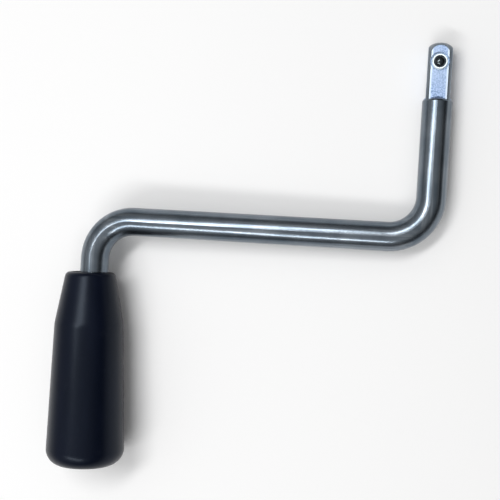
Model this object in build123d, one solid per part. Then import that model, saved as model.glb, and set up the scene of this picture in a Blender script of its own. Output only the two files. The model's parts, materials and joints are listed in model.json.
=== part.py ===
"""Crank handle with a half-inch square drive, a spring-loaded detent ball and a revolving moulded grip.

One round steel bar is bent twice into a Z. Its upper leg, the shank, ends in the square drive.
Its lower leg runs into the grip and is turned down there to a spindle, on which the grip revolves
loosely, held by a washer and a retaining ring under a plug cap.

The pieces are drawn flat: the bar's bend plane is z = 0, the shank rises along +Y at x = 0, the arm
runs to -X at y = 0 and the spindle points along -Y. lay_down() then sets the whole on the floor as it
comes to rest, on the grip's tapered side and the end of the shank, with the origin on the floor under
the middle of the whole.
All sizes are in millimetres.
"""

import os
from math import atan2, cos, radians, sin, sqrt, tan

from build123d import *

# Bar
BAR_D = 16.0  # round steel bar
BEND_R = 22.0  # centreline radius of both bends
THROW = 186.5  # drive axis to spindle axis
SHANK_L = 73.0  # arm centreline to the end of the full round on the shank
LEG_L = 98.0  # arm centreline to the spindle's shoulder, deep inside the grip
SPINDLE_D = 12.0
SPINDLE_CHAMFER = 1.0

# Square drive
SQUARE_AF = 12.7  # across flats, a half-inch drive
SQUARE_L = 31.0  # end of the full round to the tip
CORNER_D = 15.7  # turned diameter across the drive's corners
SHOULDER_L = 2.4  # rounded shoulder that leads from the round bar to the drive
SHOULDER_TOP_D = 12.2
SHOULDER_MID_L = 1.0  # where the shoulder has lost SHOULDER_MID_DROP of its radius
SHOULDER_MID_DROP = 0.55
NOSE_L = 5.0  # turned nose at the tip
NOSE_D = 7.6  # flat at the very tip
NOSE_MID_L = 1.8  # tip to where the nose is as wide as the flats

# Detent
BALL_D = 7.14  # 9/32 in steel ball
BALL_PROUD = 2.0  # how far the ball stands out of the flat
BALL_FROM_TIP = 10.3
BALL_CLEARANCE = 0.06  # around the ball in its bore
BORE_FLOOR = 1.4  # steel left under the bore
STAKE_INNER_D = 7.7  # groove struck round the mouth to keep the ball in
STAKE_OUTER_D = 10.0
STAKE_DEPTH = 0.5
SPRING_WIRE_D = 0.7
SPRING_D = 6.2  # outer diameter
SPRING_TURNS = 4.5
SPRING_CLEARANCE = 0.03  # end coil to ball

# Grip
GRIP_TO_ARM = 30.0  # arm centreline to the grip's neck end
GRIP_L = 110.2
GRIP_NECK_D = 27.9
GRIP_SHOULDER_D = 39.0
GRIP_END_D = 45.0
GRIP_SHOULDER_L = 29.5  # neck end to the shoulder
GRIP_NECK_EDGE_R = 3.0
GRIP_SHOULDER_R = 18.0  # blend between the cone and the body
GRIP_END_EDGE_R = 9.0
GRIP_WALL = 3.6
GRIP_NECK_CLEARANCE = 2.4  # round the bar in the neck, where the grip runs free
GRIP_LEAN_DEG = 1.6  # how far the loose grip lies askew on its spindle
NECK_COUNTERSINK = 1.0
HUB_D = 25.0  # bearing tube inside the grip
HUB_RECESS = 23.0  # end of the grip to the end of the bearing tube
RUNNING_CLEARANCE = 0.3  # grip on spindle, on the radius
END_FLOAT = 0.8  # axial play of the grip
CORE_FLOOR_DEPTH = 24.0  # neck end to the floor of the hollow round the bearing tube
CORE_DRAFT_DEG = 0.5  # lets the moulding core draw out of the grip's mouth
RIB_COUNT = 6
RIB_T = 2.2
RIB_RECESS = 6.0  # end of the bearing tube to the end of the ribs

# Retention on the spindle
WASHER_D = 22.0
WASHER_T = 1.6
WASHER_BORE_CLEARANCE = 0.15
RING_T = 1.0
RING_GROOVE_D = 11.4
RING_BAND = 2.0
RING_GAP_DEG = 34.0
RING_LUG_D = 4.2
RING_LUG_HOLE_D = 1.7
RING_GROOVE_CLEARANCE = 0.05
SPINDLE_PAST_RING = 2.0

# Plug cap
CAP_D = 34.0  # face that closes the grip's mouth
CAP_SINK = 0.9  # grip's end to the edge of the cap's face
CAP_DOME = 1.0  # how far the cap's crown stands past that edge
CAP_T = 2.4
CAP_SEAT_L = 2.2  # depth of the cap's rim in the mouth
CAP_SKIRT_L = 7.0
CAP_SKIRT_T = 1.8
CAP_FIT = 0.1  # round the cap in the mouth
CAP_BEAD = 0.6  # snap bead and its groove
CAP_LEDGE = 0.8  # ledge in the mouth that the cap's rim sits on

JOIN = 1.0  # how far one form of the bar runs into the next

# Worked out from the above
bar_r = BAR_D / 2
grip_top = -GRIP_TO_ARM  # y of the grip's neck end
grip_end = grip_top - GRIP_L
shoulder_y = -LEG_L  # y of the step from bar to spindle
land_top = shoulder_y - END_FLOAT / 2  # where the bore narrows to run on the spindle
hub_end = grip_end + HUB_RECESS
washer_top = hub_end - END_FLOAT / 2
ring_top = washer_top - WASHER_T
spindle_end = ring_top - RING_T - SPINDLE_PAST_RING
drive_tip = SHANK_L + SQUARE_L
ball_y = drive_tip - BALL_FROM_TIP
ball_r = BALL_D / 2
ball_z = SQUARE_AF / 2 + BALL_PROUD - ball_r
ball_bore_r = ball_r + BALL_CLEARANCE
mouth_r = CAP_D / 2 - CAP_LEDGE
cap_edge_y = grip_end + CAP_SINK
skirt_r = mouth_r - CAP_FIT  # the plug cap's skirt slides into the grip's hollow
taper = atan2((GRIP_END_D - GRIP_SHOULDER_D) / 2, GRIP_L - GRIP_SHOULDER_L)

GRIP_PIECES = ("grip_body", "end_cap")
spindle_axis = Axis((-THROW, 0, 0), (0, 1, 0))
drive_axis = Axis((0, 0, 0), (0, 1, 0))


def turned(outline, axis):
    """A solid turned about an axis parallel to Y, from a closed outline of (radius, y) points and edges."""
    face = make_face(outline)
    return revolve(Pos(axis.position.X, 0, 0) * face, axis)


def ring(radius_out, radius_in, y_low, y_high, axis=spindle_axis):
    """A plain ring about an axis parallel to Y."""
    outline = Polyline(
        (radius_in, y_low), (radius_out, y_low), (radius_out, y_high), (radius_in, y_high), close=True
    )
    return turned(outline, axis)


def bent_bar():
    """The round bar from the spindle's shoulder to the end of the shank."""
    path = FilletPolyline(
        (-THROW, shoulder_y, 0),
        (-THROW, 0, 0),
        (0, 0, 0),
        (0, SHANK_L, 0),
        radius=BEND_R,
    )
    section = Plane(origin=path @ 0, z_dir=path % 0) * Circle(bar_r)
    return sweep(section, path=path)


def spindle():
    """The turned-down leg that carries the grip, with its groove for the retaining ring."""
    r = SPINDLE_D / 2
    groove_r = RING_GROOVE_D / 2
    groove_end = ring_top - RING_T - RING_GROOVE_CLEARANCE
    outline = Polyline(
        (0, shoulder_y + JOIN),
        (r, shoulder_y + JOIN),
        (r, ring_top),
        (groove_r, ring_top),
        (groove_r, groove_end),
        (r, groove_end),
        (r, spindle_end + SPINDLE_CHAMFER),
        (r - SPINDLE_CHAMFER, spindle_end),
        (0, spindle_end),
        close=True,
    )
    return turned(outline, spindle_axis)


def drive_blank():
    """The turned form that the square is milled from: shoulder cone, corner diameter and nose."""
    corner_r = CORNER_D / 2
    nose_r = NOSE_D / 2
    nose_mid_r = SQUARE_AF / 2
    nose_mid_y = drive_tip - NOSE_MID_L
    start_y = SHANK_L - JOIN
    outline = [
        Line((0, start_y), (corner_r, start_y)),
        Line((corner_r, start_y), (corner_r, drive_tip - NOSE_L)),
        ThreePointArc((corner_r, drive_tip - NOSE_L), (nose_mid_r, nose_mid_y), (nose_r, drive_tip)),
        Line((nose_r, drive_tip), (0, drive_tip)),
        Line((0, drive_tip), (0, start_y)),
    ]
    return turned(Wire(outline), drive_axis)


def shoulder():
    """The rounded shoulder from the round shank to the square."""
    start_y = SHANK_L - JOIN
    top_y = SHANK_L + SHOULDER_L
    top_r = SHOULDER_TOP_D / 2
    middle = (bar_r - SHOULDER_MID_DROP, SHANK_L + SHOULDER_MID_L)
    outline = [
        Polyline((0, start_y), (bar_r, start_y), (bar_r, SHANK_L)),
        ThreePointArc((bar_r, SHANK_L), middle, (top_r, top_y)),
        Polyline((top_r, top_y), (0, top_y), (0, start_y)),
    ]
    return turned(Wire([edge for line in outline for edge in line.edges()]), drive_axis)


def detent_bore():
    """Blind bore for the ball and spring. Its mouth is narrower than the ball, so the ball stays in."""
    depth_z = -SQUARE_AF / 2 + BORE_FLOOR
    straight = Pos(0, ball_y, depth_z) * extrude(Circle(ball_bore_r), ball_z - depth_z)
    return straight + Pos(0, ball_y, ball_z) * Sphere(ball_bore_r)


def stake_groove():
    """V groove struck round the bore's mouth."""
    z = SQUARE_AF / 2
    middle = (STAKE_INNER_D + STAKE_OUTER_D) / 4
    section = Plane.XZ * make_face(
        Polyline((STAKE_INNER_D / 2, z), (STAKE_OUTER_D / 2, z), (middle, z - STAKE_DEPTH), close=True)
    )
    return Pos(0, ball_y, 0) * revolve(section, Axis.Z)


def crank_bar():
    square = Pos(0, (SHANK_L + drive_tip) / 2, 0) * Box(SQUARE_AF, SQUARE_L + 2 * JOIN, SQUARE_AF)
    drive = drive_blank() & square
    bar = bent_bar() + spindle() + shoulder() + drive
    return bar - detent_bore() - stake_groove()


def detent_ball():
    return Pos(0, ball_y, ball_z) * Sphere(ball_r)


def detent_spring():
    """Compression spring between the bore's floor and the ball."""
    floor_z = -SQUARE_AF / 2 + BORE_FLOOR
    coil_r = (SPRING_D - SPRING_WIRE_D) / 2
    wire_r = SPRING_WIRE_D / 2
    seat_drop = sqrt((ball_r + wire_r) ** 2 - coil_r**2)  # the end coil carries the ball below its equator
    top_z = ball_z - seat_drop - SPRING_CLEARANCE
    bottom_z = floor_z + wire_r
    pitch = (top_z - bottom_z) / SPRING_TURNS
    helix = Helix(pitch=pitch, height=top_z - bottom_z, radius=coil_r)
    section = Plane(origin=helix @ 0, z_dir=helix % 0) * Circle(wire_r)
    return Pos(0, ball_y, bottom_z) * sweep(section, path=helix, is_frenet=True)


def grip_outline_r(depth):
    """Outer radius of the grip's cone or body, without its blends, at a depth below the neck end."""
    neck_r, mid_r, end_r = GRIP_NECK_D / 2, GRIP_SHOULDER_D / 2, GRIP_END_D / 2
    if depth < GRIP_SHOULDER_L:
        return neck_r + (mid_r - neck_r) * depth / GRIP_SHOULDER_L
    return mid_r + (end_r - mid_r) * (depth - GRIP_SHOULDER_L) / (GRIP_L - GRIP_SHOULDER_L)


def grip_blank():
    """The grip's outer form, solid: neck, cone, tapered body and rounded end."""
    outline = Polyline(
        (0, grip_top),
        (GRIP_NECK_D / 2, grip_top),
        (GRIP_SHOULDER_D / 2, grip_top - GRIP_SHOULDER_L),
        (GRIP_END_D / 2, grip_end),
        (0, grip_end),
        close=True,
    )
    face = make_face(outline)
    blends = (
        (GRIP_NECK_D / 2, grip_top, GRIP_NECK_EDGE_R),
        (GRIP_SHOULDER_D / 2, grip_top - GRIP_SHOULDER_L, GRIP_SHOULDER_R),
        (GRIP_END_D / 2, grip_end, GRIP_END_EDGE_R),
    )
    for corner_r, corner_y, blend_r in blends:
        corner = face.vertices().sort_by_distance((corner_r, corner_y))[0]
        face = fillet(corner, blend_r)
    return revolve(Pos(-THROW, 0, 0) * face, spindle_axis)


def grip_core():
    """The moulding core: the hollow between the outer wall and the bearing tube, open at the grip's end."""
    skirt_depth = GRIP_L - CAP_SINK - CAP_SEAT_L - CAP_SKIRT_L
    drawn_r = mouth_r - tan(radians(CORE_DRAFT_DEG)) * (skirt_depth - GRIP_SHOULDER_L)
    shoulder_r = min(grip_outline_r(GRIP_SHOULDER_L) - GRIP_WALL, drawn_r)
    floor_r = min(grip_outline_r(CORE_FLOOR_DEPTH) - GRIP_WALL, shoulder_r)
    outline = Polyline(
        (0, grip_top - CORE_FLOOR_DEPTH),
        (floor_r, grip_top - CORE_FLOOR_DEPTH),
        (shoulder_r, grip_top - GRIP_SHOULDER_L),
        (mouth_r, grip_top - skirt_depth),
        (mouth_r, grip_end),
        (0, grip_end),
        close=True,
    )
    return turned(outline, spindle_axis)


def bearing_tube():
    """The tube round the bar and the spindle, with ribs out to the wall."""
    floor_y = grip_top - CORE_FLOOR_DEPTH
    tube = ring(HUB_D / 2, 0, hub_end, floor_y)
    rib_end = hub_end + RIB_RECESS
    rib_r = GRIP_END_D / 2 - GRIP_WALL / 2
    rib_length = floor_y - rib_end
    rib = Pos(rib_r / 2, rib_end + rib_length / 2, 0) * Box(rib_r, rib_length, RIB_T)
    ribs = [Rot(0, 360 / RIB_COUNT * i, 0) * rib for i in range(RIB_COUNT)]
    return tube + Pos(-THROW, 0, 0) * Compound(ribs)


def grip_body():
    blank = grip_blank()
    hollow = blank - grip_core()
    body = hollow + (bearing_tube() & blank)
    spindle_bore = ring(SPINDLE_D / 2 + RUNNING_CLEARANCE, 0, grip_end, grip_top)
    neck_r = bar_r + GRIP_NECK_CLEARANCE
    neck_bore = ring(neck_r, 0, land_top, grip_top)
    sink = turned(
        Polyline(
            (0, grip_top - NECK_COUNTERSINK),
            (neck_r, grip_top - NECK_COUNTERSINK),
            (neck_r + NECK_COUNTERSINK, grip_top),
            (0, grip_top),
            close=True,
        ),
        spindle_axis,
    )
    mouth = ring(CAP_D / 2, 0, grip_end, cap_edge_y + CAP_SEAT_L)
    bead_y = cap_edge_y + CAP_SEAT_L + CAP_SKIRT_L / 2
    half_groove = CAP_BEAD + CAP_FIT
    groove = ring(skirt_r + half_groove, skirt_r, bead_y - half_groove, bead_y + half_groove)
    return body - spindle_bore - neck_bore - sink - mouth - groove


def end_cap():
    """Plug cap with a low crown, a rim on the ledge in the grip's mouth and a skirt with a snap bead."""
    rim_r = CAP_D / 2 - CAP_FIT
    ledge_y = cap_edge_y + CAP_SEAT_L
    bead_y = ledge_y + CAP_SKIRT_L / 2
    skirt_end = ledge_y + CAP_SKIRT_L
    inner_r = skirt_r - CAP_SKIRT_T
    crown_r = (rim_r**2 + CAP_DOME**2) / (2 * CAP_DOME)
    half_way_y = cap_edge_y - CAP_DOME + crown_r - sqrt(crown_r**2 - (rim_r / 2) ** 2)
    outline = [
        ThreePointArc((0, cap_edge_y - CAP_DOME), (rim_r / 2, half_way_y), (rim_r, cap_edge_y)),
        Polyline(
            (rim_r, cap_edge_y),
            (rim_r, ledge_y),
            (skirt_r, ledge_y),
            (skirt_r, bead_y - CAP_BEAD),
            (skirt_r + CAP_BEAD, bead_y),
            (skirt_r, bead_y + CAP_BEAD),
            (skirt_r, skirt_end),
            (inner_r, skirt_end),
            (inner_r, cap_edge_y + CAP_T),
            (0, cap_edge_y - CAP_DOME + CAP_T),
            (0, cap_edge_y - CAP_DOME),
        ),
    ]
    return turned(Wire([edge for line in outline for edge in line.edges()]), spindle_axis)


def end_washer():
    return ring(WASHER_D / 2, SPINDLE_D / 2 + WASHER_BORE_CLEARANCE, washer_top - WASHER_T, washer_top)


def retaining_ring():
    """External retaining ring in the spindle's groove, with two lugs for the pliers."""
    inner_r = RING_GROOVE_D / 2 + RING_GROOVE_CLEARANCE
    outer_r = inner_r + RING_BAND
    lug_at = inner_r + RING_LUG_D / 2
    half_gap = radians(RING_GAP_DEG / 2)
    reach = 2 * outer_r
    gap_x = reach * sin(half_gap)
    gap_y = reach * cos(half_gap)
    gap = make_face(Polyline((0, 0), (gap_x, gap_y), (-gap_x, gap_y), close=True))
    flat = Circle(outer_r) - Circle(inner_r)
    lug_turn = half_gap + RING_LUG_D / 2 / lug_at
    for side in (-1, 1):
        lug_place = Pos(side * lug_at * sin(lug_turn), lug_at * cos(lug_turn))
        lug = lug_place * Circle(RING_LUG_D / 2) - Circle(inner_r)
        flat = flat + lug - lug_place * Circle(RING_LUG_HOLE_D / 2)
    flat = flat - gap
    ring_plane = Plane(origin=(-THROW, ring_top - RING_T, 0), x_dir=(1, 0, 0), z_dir=(0, 1, 0))
    return extrude(ring_plane * flat, RING_T)


def floor_normal():
    """Upward normal of the floor, in the flat frame: it touches the grip's taper and the shank's end."""
    cone_r_at_arm = GRIP_SHOULDER_D / 2 + tan(taper) * (grip_top - GRIP_SHOULDER_L)
    lean_x = ((cone_r_at_arm - bar_r) * cos(taper) - SHANK_L * sin(taper)) / THROW
    return Vector(-lean_x, -sin(taper), sqrt(1 - lean_x**2 - sin(taper) ** 2))


def floor_plane():
    """The floor as a plane in the flat frame, under the end of the shank, with its X along the arm."""
    normal = floor_normal()
    drop = bar_r * sqrt(normal.X**2 + normal.Z**2)
    under_shank = Vector(0, SHANK_L, 0) - normal * drop
    x_dir = Vector(1, 0, 0) - normal * normal.X
    return Plane(origin=under_shank, x_dir=x_dir, z_dir=normal)


def lay_down(shapes):
    """Sets the flat-drawn pieces on the floor, the loose grip a little askew, origin under the middle."""
    floor = floor_plane()
    laid = {name: floor.to_local_coords(shape) for name, shape in shapes.items()}
    land_middle = floor.to_local_coords(Vector(-THROW, (land_top + hub_end) / 2, 0))
    for name in GRIP_PIECES:
        laid[name] = laid[name].rotate(Axis(land_middle, (0, 0, 1)), GRIP_LEAN_DEG)
    boxes = [shape.bounding_box() for shape in laid.values()]
    middle_x = (min(box.min.X for box in boxes) + max(box.max.X for box in boxes)) / 2
    middle_y = (min(box.min.Y for box in boxes) + max(box.max.Y for box in boxes)) / 2
    to_middle = Pos(-middle_x, -middle_y, 0)
    return {name: to_middle * shape for name, shape in laid.items()}, to_middle


def pieces():
    return {
        "crank_bar": crank_bar(),
        "detent_ball": detent_ball(),
        "detent_spring": detent_spring(),
        "grip_body": grip_body(),
        "end_washer": end_washer(),
        "retaining_ring": retaining_ring(),
        "end_cap": end_cap(),
    }


laid_pieces, to_middle = lay_down(pieces())
os.makedirs("parts", exist_ok=True)
for name, shape in laid_pieces.items():
    export_step(shape, f"parts/{name}.step")
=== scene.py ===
"""Looks of the crank handle: plated bar, milled square drive with its detent ball, black moulded grip."""

import json
import math

import bpy
from mathutils import Matrix, Vector


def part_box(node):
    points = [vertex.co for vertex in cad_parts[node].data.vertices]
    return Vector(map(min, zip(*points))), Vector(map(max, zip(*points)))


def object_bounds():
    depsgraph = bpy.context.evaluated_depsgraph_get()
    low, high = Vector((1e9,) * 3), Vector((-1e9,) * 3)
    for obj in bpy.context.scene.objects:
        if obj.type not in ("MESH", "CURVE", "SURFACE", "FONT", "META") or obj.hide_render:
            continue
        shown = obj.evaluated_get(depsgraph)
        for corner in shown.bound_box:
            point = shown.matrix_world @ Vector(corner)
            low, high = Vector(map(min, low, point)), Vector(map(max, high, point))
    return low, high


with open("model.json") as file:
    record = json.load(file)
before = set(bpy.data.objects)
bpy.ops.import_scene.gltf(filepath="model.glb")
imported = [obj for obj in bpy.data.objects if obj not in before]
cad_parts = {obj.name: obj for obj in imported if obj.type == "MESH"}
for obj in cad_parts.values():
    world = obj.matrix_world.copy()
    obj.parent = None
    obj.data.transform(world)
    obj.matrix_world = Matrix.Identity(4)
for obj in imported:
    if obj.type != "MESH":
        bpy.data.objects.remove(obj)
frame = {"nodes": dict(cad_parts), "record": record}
cad_low, cad_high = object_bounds()

# Sizes of the part that the finishes follow, in metres
THROW = 0.1865
ARM_BELOW_BALL = 0.0937
BALL_TO_AXIS = -0.00478
SQUARE_HALF = 0.00635
DRIVE_L = 0.031
BALL_FROM_TIP = 0.0103
# Radius out to which the struck ring round the ball is painted as a bright highlight
RING_HIGHLIGHT_R = 0.0046

# Where the finishes and the painted edge highlight of the drive begin and where they are full, in metres
MILLING_FROM, MILLING_FULL = 0.0006, 0.0012    # past the shoulder, towards the tip
FLAT_FROM, FLAT_FULL = SQUARE_HALF - 0.00012, SQUARE_HALF - 0.00002    # from the bar's axis
# Painted highlight along the edges of the flats: where it begins and where it is full
EDGE_HIGHLIGHT_FROM, EDGE_HIGHLIGHT_FULL = 0.0034, 0.0043    # from a flat's middle line
TOP_FROM, TOP_FULL = 0.0052, 0.0058    # from the bar's axis towards the ball's flat
GROOVE_FULL, GROOVE_ENDS = 0.0051, 0.0054    # from the ball's centre
RING_FADE = 0.0004

# The plating's grain: how it is drawn out along the bar, and how far it takes to turn in a bend, in metres
GRAIN_STRETCH = 0.04
GRAIN_TURN = 0.006

# Camera, at the viewing angle of a hand-held shot from above: degrees, metres and millimetres of lens
CAMERA_AZIMUTH, CAMERA_ELEVATION, CAMERA_ROLL = 12.878, 77.137, -99.501
CAMERA_DISTANCE = 0.49423
CAMERA_AIM = Vector((0.00339, 0.00631, 0.015))
CAMERA_LENS, CAMERA_SENSOR = 64.22, 36

# How far the ceiling's brightest place leans off the vertical, and the side of the floor in metres
CEILING_LEAN = math.radians(17)
FLOOR_SIDE = 60

# Directions of the crank as it lies: along the shank, out of the drive's flat, and along the arm
joints = {joint["name"]: joint for joint in frame["record"]["behaviour"]["joints"]}
mounts = {mount["name"]: mount for mount in frame["record"]["mounts"]}
along_shank = Vector(mounts["square_drive"]["axis"]).normalized()
along_grip = Vector(joints["grip_spin"]["axis"]).normalized()
out_of_flat = -Vector(joints["detent_press"]["axis"]).normalized()
along_arm = along_shank.cross(out_of_flat).normalized()
across_grip = along_grip.cross(out_of_flat).normalized()


def box_middle(node):
    low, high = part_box(node)
    return (Vector(low) + Vector(high)) / 2


ball_centre = box_middle("detent_ball")
grip_place = Vector(joints["grip_spin"]["pos_m"])


class Shader:
    """A material under construction: small helpers that add nodes and return their output sockets."""

    def __init__(self, name):
        self.material = bpy.data.materials.new(name)
        self.material.use_nodes = True
        self.nodes = self.material.node_tree.nodes
        self.links = self.material.node_tree.links
        self.surface = self.nodes["Principled BSDF"]
        self.coords = self.nodes.new("ShaderNodeTexCoord").outputs["Object"]

    def put(self, value, socket):
        if isinstance(value, bpy.types.NodeSocket):
            self.links.new(value, socket)
        elif isinstance(value, (tuple, list, Vector)) and len(value) == 3 and socket.type == "RGBA":
            socket.default_value = (*value, 1)
        else:
            socket.default_value = value

    def set(self, socket, value):
        self.put(value, self.surface.inputs[socket])

    def math(self, operation, a, b=0.0):
        node = self.nodes.new("ShaderNodeMath")
        node.operation = operation
        self.put(a, node.inputs[0])
        self.put(b, node.inputs[1])
        return node.outputs[0]

    def vector(self, operation, a, b):
        node = self.nodes.new("ShaderNodeVectorMath")
        node.operation = operation
        self.put(a, node.inputs[0])
        self.put(b, node.inputs[1])
        return node.outputs["Value" if operation == "DOT_PRODUCT" else "Vector"]

    def combine(self, x, y, z):
        node = self.nodes.new("ShaderNodeCombineXYZ")
        for value, socket in zip((x, y, z), node.inputs):
            self.put(value, socket)
        return node.outputs[0]

    def step(self, value, low, high, out_low=0.0, out_high=1.0):
        node = self.nodes.new("ShaderNodeMapRange")
        node.interpolation_type = "SMOOTHSTEP"
        for index, item in enumerate((value, low, high, out_low, out_high)):
            self.put(item, node.inputs[index])
        return node.outputs[0]

    def noise(self, where, scale, detail=4.0, roughness=0.55):
        node = self.nodes.new("ShaderNodeTexNoise")
        self.put(where, node.inputs["Vector"])
        self.put(scale, node.inputs["Scale"])
        self.put(detail, node.inputs["Detail"])
        self.put(roughness, node.inputs["Roughness"])
        return node.outputs["Fac"]

    def pits(self, where, scale):
        node = self.nodes.new("ShaderNodeTexVoronoi")
        self.put(where, node.inputs["Vector"])
        self.put(scale, node.inputs["Scale"])
        return node.outputs["Distance"]

    def mix(self, amount, a, b):
        node = self.nodes.new("ShaderNodeMix")
        node.data_type = "RGBA"
        self.put(amount, node.inputs["Factor"])
        self.put(a, node.inputs[6])
        self.put(b, node.inputs[7])
        return node.outputs[2]

    def blend(self, amount, a, b):
        node = self.nodes.new("ShaderNodeMix")
        node.data_type = "FLOAT"
        self.put(amount, node.inputs["Factor"])
        self.put(a, node.inputs[2])
        self.put(b, node.inputs[3])
        return node.outputs[0]

    def bump(self, height, strength, distance):
        node = self.nodes.new("ShaderNodeBump")
        self.put(height, node.inputs["Height"])
        self.put(strength, node.inputs["Strength"])
        self.put(distance, node.inputs["Distance"])
        self.links.new(node.outputs["Normal"], self.surface.inputs["Normal"])

    def along(self, origin, direction):
        """Distance from a point along a direction, at each point of the surface."""
        return self.vector("DOT_PRODUCT", self.vector("SUBTRACT", self.coords, origin), direction)


def plated_bar():
    s = Shader("plated_steel")
    x = s.along(ball_centre, along_arm)
    y = s.along(ball_centre, along_shank)
    z = s.along(ball_centre, out_of_flat)
    # Grain runs along the bar: along the shank and the leg, and along the arm between the bends
    leg_x = s.math("ABSOLUTE", s.math("ADD", x, THROW))
    from_leg = s.math("MINIMUM", s.math("ABSOLUTE", x), leg_x)
    from_arm = s.math("ABSOLUTE", s.math("SUBTRACT", y, -ARM_BELOW_BALL))
    on_leg = s.step(s.math("SUBTRACT", from_arm, from_leg), -GRAIN_TURN, GRAIN_TURN)
    upright = s.combine(x, s.math("MULTIPLY", y, GRAIN_STRETCH), z)
    lying = s.combine(s.math("MULTIPLY", x, GRAIN_STRETCH), y, z)
    fine = s.blend(on_leg, s.noise(lying, 2600, 3), s.noise(upright, 2600, 3))
    coarse = s.blend(on_leg, s.noise(lying, 520, 4), s.noise(upright, 520, 4))
    cloud = s.noise(s.coords, 60, 5)
    speck = s.step(s.noise(s.coords, 900, 5, 0.7), 0.62, 0.72)
    nick = s.step(s.pits(s.coords, 170), 0.05, 0.0)

    # The milled drive: flats with a painted highlight along their edges, and the struck ring in its groove
    # round the ball, painted as a bright highlight
    flat_z = s.math("SUBTRACT", z, BALL_TO_AXIS)
    reach = s.math("MAXIMUM", s.math("ABSOLUTE", x), s.math("ABSOLUTE", flat_z))
    shoulder = BALL_FROM_TIP - DRIVE_L
    on_drive = s.step(y, shoulder + MILLING_FROM, shoulder + MILLING_FULL)
    on_flat = s.math("MULTIPLY", on_drive, s.step(reach, FLAT_FROM, FLAT_FULL))
    inner = s.math("MINIMUM", s.math("ABSOLUTE", x), s.math("ABSOLUTE", flat_z))
    # Mask of the painted highlight along the flats' edges, where the rounded corners catch light
    edge_highlight = s.math("MULTIPLY", on_flat, s.step(inner, EDGE_HIGHLIGHT_FROM, EDGE_HIGHLIGHT_FULL))
    ring_distance = s.math("SQRT", s.math("ADD", s.math("POWER", x, 2.0), s.math("POWER", y, 2.0)))
    on_top = s.math("MULTIPLY", on_drive, s.step(flat_z, TOP_FROM, TOP_FULL))
    # Mask of the painted highlight on the struck ring, where its groove catches light
    ring = s.math("MULTIPLY", on_top, s.step(ring_distance, RING_HIGHLIGHT_R, RING_HIGHLIGHT_R - RING_FADE))
    groove = s.math("MULTIPLY", on_top, s.step(ring_distance, GROOVE_ENDS, GROOVE_FULL))
    on_milled = s.math("MAXIMUM", on_flat, groove)

    plating_deep, plating_pale, grain_pale = (0.107, 0.134, 0.163), (0.169, 0.198, 0.229), (0.34, 0.37, 0.40)
    speck_dark, nick_bright = (0.050, 0.060, 0.073), (0.44, 0.46, 0.48)
    plating = s.mix(s.step(cloud, 0.3, 0.7), plating_deep, plating_pale)
    plating = s.mix(s.math("MULTIPLY", s.step(coarse, 0.45, 0.75), 0.5), plating, grain_pale)
    plating = s.mix(s.math("MULTIPLY", speck, 0.35), plating, speck_dark)
    plating = s.mix(s.math("MULTIPLY", nick, 0.5), plating, nick_bright)

    cut_deep, cut_pale, cut_clouded = (0.17, 0.25, 0.40), (0.43, 0.55, 0.78), (0.44, 0.53, 0.68)
    # Colours of the painted highlights on the flats' edges and on the struck ring
    edge_highlight_colour, ring_highlight_colour = (0.70, 0.80, 0.92), (0.88, 0.96, 0.97)
    milled = s.mix(s.step(s.noise(s.coords, 1500, 4, 0.7), 0.38, 0.62), cut_deep, cut_pale)
    milled = s.mix(s.math("MULTIPLY", s.step(cloud, 0.45, 0.65), 0.4), milled, cut_clouded)
    # Painted highlight along the flats' edges
    milled = s.mix(s.math("MULTIPLY", edge_highlight, 0.85), milled, edge_highlight_colour)
    # Painted highlight on the struck ring round the ball
    milled = s.mix(s.math("MULTIPLY", ring, 0.9), milled, ring_highlight_colour)
    s.set("Base Color", s.mix(on_milled, plating, milled))
    s.set("Metallic", 1.0)
    rough = s.math("ADD", 0.155, s.math("MULTIPLY", fine, 0.10))
    rough = s.math("ADD", rough, s.math("MULTIPLY", cloud, 0.06))
    s.set("Roughness", s.blend(on_milled, rough, 0.42))
    height = s.math("ADD", s.math("MULTIPLY", fine, 0.5), coarse)
    height = s.math("SUBTRACT", height, s.math("MULTIPLY", nick, 0.8))
    s.bump(height, 0.12, 0.0002)
    return s.material


def ball_steel():
    s = Shader("ball_steel")
    stain = s.step(s.noise(s.coords, 700, 4), 0.4, 0.7)
    s.set("Base Color", s.mix(stain, (0.044, 0.055, 0.062), (0.098, 0.114, 0.122)))
    s.set("Metallic", 1.0)
    s.set("Roughness", s.math("ADD", 0.07, s.math("MULTIPLY", s.noise(s.coords, 1400, 3), 0.07)))
    s.bump(s.noise(s.coords, 1800, 2), 0.03, 0.0001)
    return s.material


def spring_steel():
    s = Shader("spring_steel")
    s.set("Base Color", s.mix(s.noise(s.coords, 500, 4), (0.16, 0.16, 0.17), (0.30, 0.30, 0.31)))
    s.set("Metallic", 1.0)
    s.set("Roughness", s.math("ADD", 0.26, s.math("MULTIPLY", s.noise(s.coords, 900, 3), 0.14)))
    s.bump(s.noise(s.coords, 2200, 3), 0.08, 0.0001)
    return s.material


def washer_steel():
    s = Shader("washer_steel")
    s.set("Base Color", s.mix(s.noise(s.coords, 260, 5), (0.42, 0.44, 0.46), (0.62, 0.63, 0.63)))
    s.set("Metallic", 1.0)
    s.set("Roughness", s.math("ADD", 0.28, s.math("MULTIPLY", s.noise(s.coords, 700, 3), 0.18)))
    s.bump(s.noise(s.coords, 1500, 3), 0.08, 0.0001)
    return s.material


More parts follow.
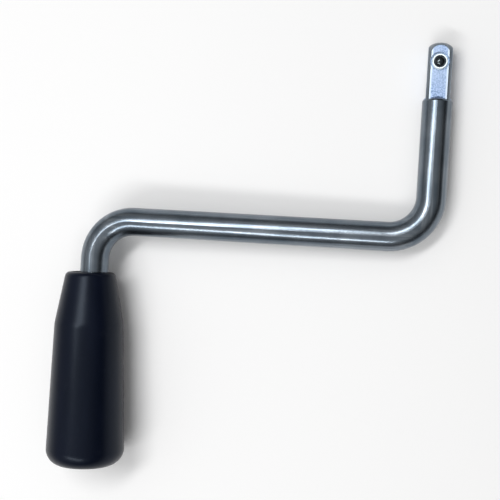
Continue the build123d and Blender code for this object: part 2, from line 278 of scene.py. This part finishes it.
def moulded_black(name, texture):
    """Black moulded plastic: fine spark-eroded grain, a faint flow pattern and small rubbed spots."""
    s = Shader(name)
    down = s.along(grip_place, along_grip)
    x = s.along(grip_place, across_grip)
    z = s.along(grip_place, out_of_flat)
    flow = s.noise(s.combine(x, s.math("MULTIPLY", down, 0.25), z), 90, 4)
    grain = s.noise(s.coords, 2400, 4, 0.6)
    rub = s.step(s.noise(s.coords, 130, 6, 0.65), 0.56, 0.72)
    base = s.mix(s.step(flow, 0.3, 0.7), (0.0012, 0.0026, 0.0085), (0.0024, 0.0042, 0.0125))
    s.set("Base Color", s.mix(s.math("MULTIPLY", rub, 0.35), base, (0.0065, 0.0085, 0.0160)))
    rough = s.math("ADD", 0.22, s.math("MULTIPLY", grain, 0.10))
    s.set("Roughness", s.math("ADD", rough, s.math("MULTIPLY", flow, 0.06)))
    s.set("IOR", 1.29)
    s.set("Specular Tint", (0.72, 0.84, 1.0))
    s.bump(s.math("ADD", grain, s.math("MULTIPLY", flow, 0.6)), texture, 0.00015)
    return s.material


spring_finish = spring_steel()
finishes = {
    "crank_bar": plated_bar(),
    "detent_ball": ball_steel(),
    "detent_spring": spring_finish,
    "end_washer": washer_steel(),
    "retaining_ring": spring_finish,
    "grip_body": moulded_black("grip_plastic", 0.16),
    "end_cap": moulded_black("cap_plastic", 0.10),
}
for node, finish in finishes.items():
    for slot in frame["nodes"][node].material_slots:
        slot.link = "OBJECT"
        slot.material = finish

centre = (Vector(cad_low) + Vector(cad_high)) / 2

# Floor
bpy.ops.mesh.primitive_plane_add(size=FLOOR_SIDE, location=(0, 0, 0))
floor = bpy.context.object
floor.name = "floor"
paper = bpy.data.materials.new("floor_paper")
paper.use_nodes = True
paper_surface = paper.node_tree.nodes["Principled BSDF"].inputs
paper_surface["Base Color"].default_value = (1, 1, 1, 1)
paper_surface["Roughness"].default_value = 0.9
paper_surface["Specular IOR Level"].default_value = 0.0
floor.data.materials.append(paper)

# World: a soft white ceiling that leans to the left and falls off towards the sides, above a pale horizon
world = bpy.data.worlds.new("studio")
bpy.context.scene.world = world
world.use_nodes = True
sky = world.node_tree
sky_way = sky.nodes.new("ShaderNodeTexCoord").outputs["Generated"]


def sky_height(lean):
    """Height in the sky along a direction that leans off the vertical to the left by an angle."""
    product = sky.nodes.new("ShaderNodeVectorMath")
    product.operation = "DOT_PRODUCT"
    sky.links.new(sky_way, product.inputs[0])
    product.inputs[1].default_value = (-math.sin(lean), 0, math.cos(lean))
    return product.outputs["Value"]


def sky_band(height, low, high, strength_low, strength_high):
    """World strength that goes smoothly from one value to the other between two heights of the sky."""
    band = sky.nodes.new("ShaderNodeMapRange")
    band.interpolation_type = "SMOOTHSTEP"
    limits = (("From Min", low), ("From Max", high), ("To Min", strength_low), ("To Max", strength_high))
    for socket, value in limits:
        band.inputs[socket].default_value = value
    sky.links.new(height, band.inputs["Value"])
    return band.outputs["Result"]


both = sky.nodes.new("ShaderNodeMath")
sky.links.new(sky_band(sky_height(CEILING_LEAN), 0.10, 0.90, 0.07, 0.57), both.inputs[0])
sky.links.new(sky_band(sky_height(0), 0.10, 0.22, 0.62, 0.0), both.inputs[1])
sky.nodes["Background"].inputs["Color"].default_value = (1, 1, 1, 1)
sky.links.new(both.outputs[0], sky.nodes["Background"].inputs["Strength"])


def softbox(name, lean_x, lean_y, width, depth, power, distance=1.1):
    """An area lamp above the crank, leaned off the vertical by two angles in degrees."""
    way = Vector((math.tan(math.radians(lean_x)), math.tan(math.radians(lean_y)), 1)).normalized()
    light = bpy.data.lights.new(name, "AREA")
    light.shape = "RECTANGLE"
    light.size, light.size_y = width, depth
    light.energy = power
    lamp = bpy.data.objects.new(name, light)
    lamp.location = centre + way * distance
    lamp.rotation_mode = "QUATERNION"
    lamp.rotation_quaternion = way.to_track_quat("Z", "Y")
    bpy.context.collection.objects.link(lamp)


softbox("window_far", -15, 16, 0.80, 0.19, 5.0)
softbox("window_near", -15, -36, 0.80, 0.12, 3.2)

# Camera
azimuth, elevation = math.radians(CAMERA_AZIMUTH), math.radians(CAMERA_ELEVATION)
level = math.cos(elevation)
back = Vector((math.cos(azimuth) * level, math.sin(azimuth) * level, math.sin(elevation)))
right = (-back).cross(Vector((0, 0, 1))).normalized()
up = right.cross(-back)
turn = Matrix((right, up, back)).transposed() @ Matrix.Rotation(math.radians(CAMERA_ROLL), 3, "Z")
camera = bpy.data.objects.new("camera", bpy.data.cameras.new("camera"))
camera.data.lens = CAMERA_LENS
camera.data.sensor_width = CAMERA_SENSOR
camera.location = CAMERA_AIM + back * CAMERA_DISTANCE
camera.rotation_mode = "QUATERNION"
camera.rotation_quaternion = turn.to_quaternion()
bpy.context.collection.objects.link(camera)
bpy.context.scene.camera = camera
bpy.context.scene.view_settings.view_transform = "Standard"
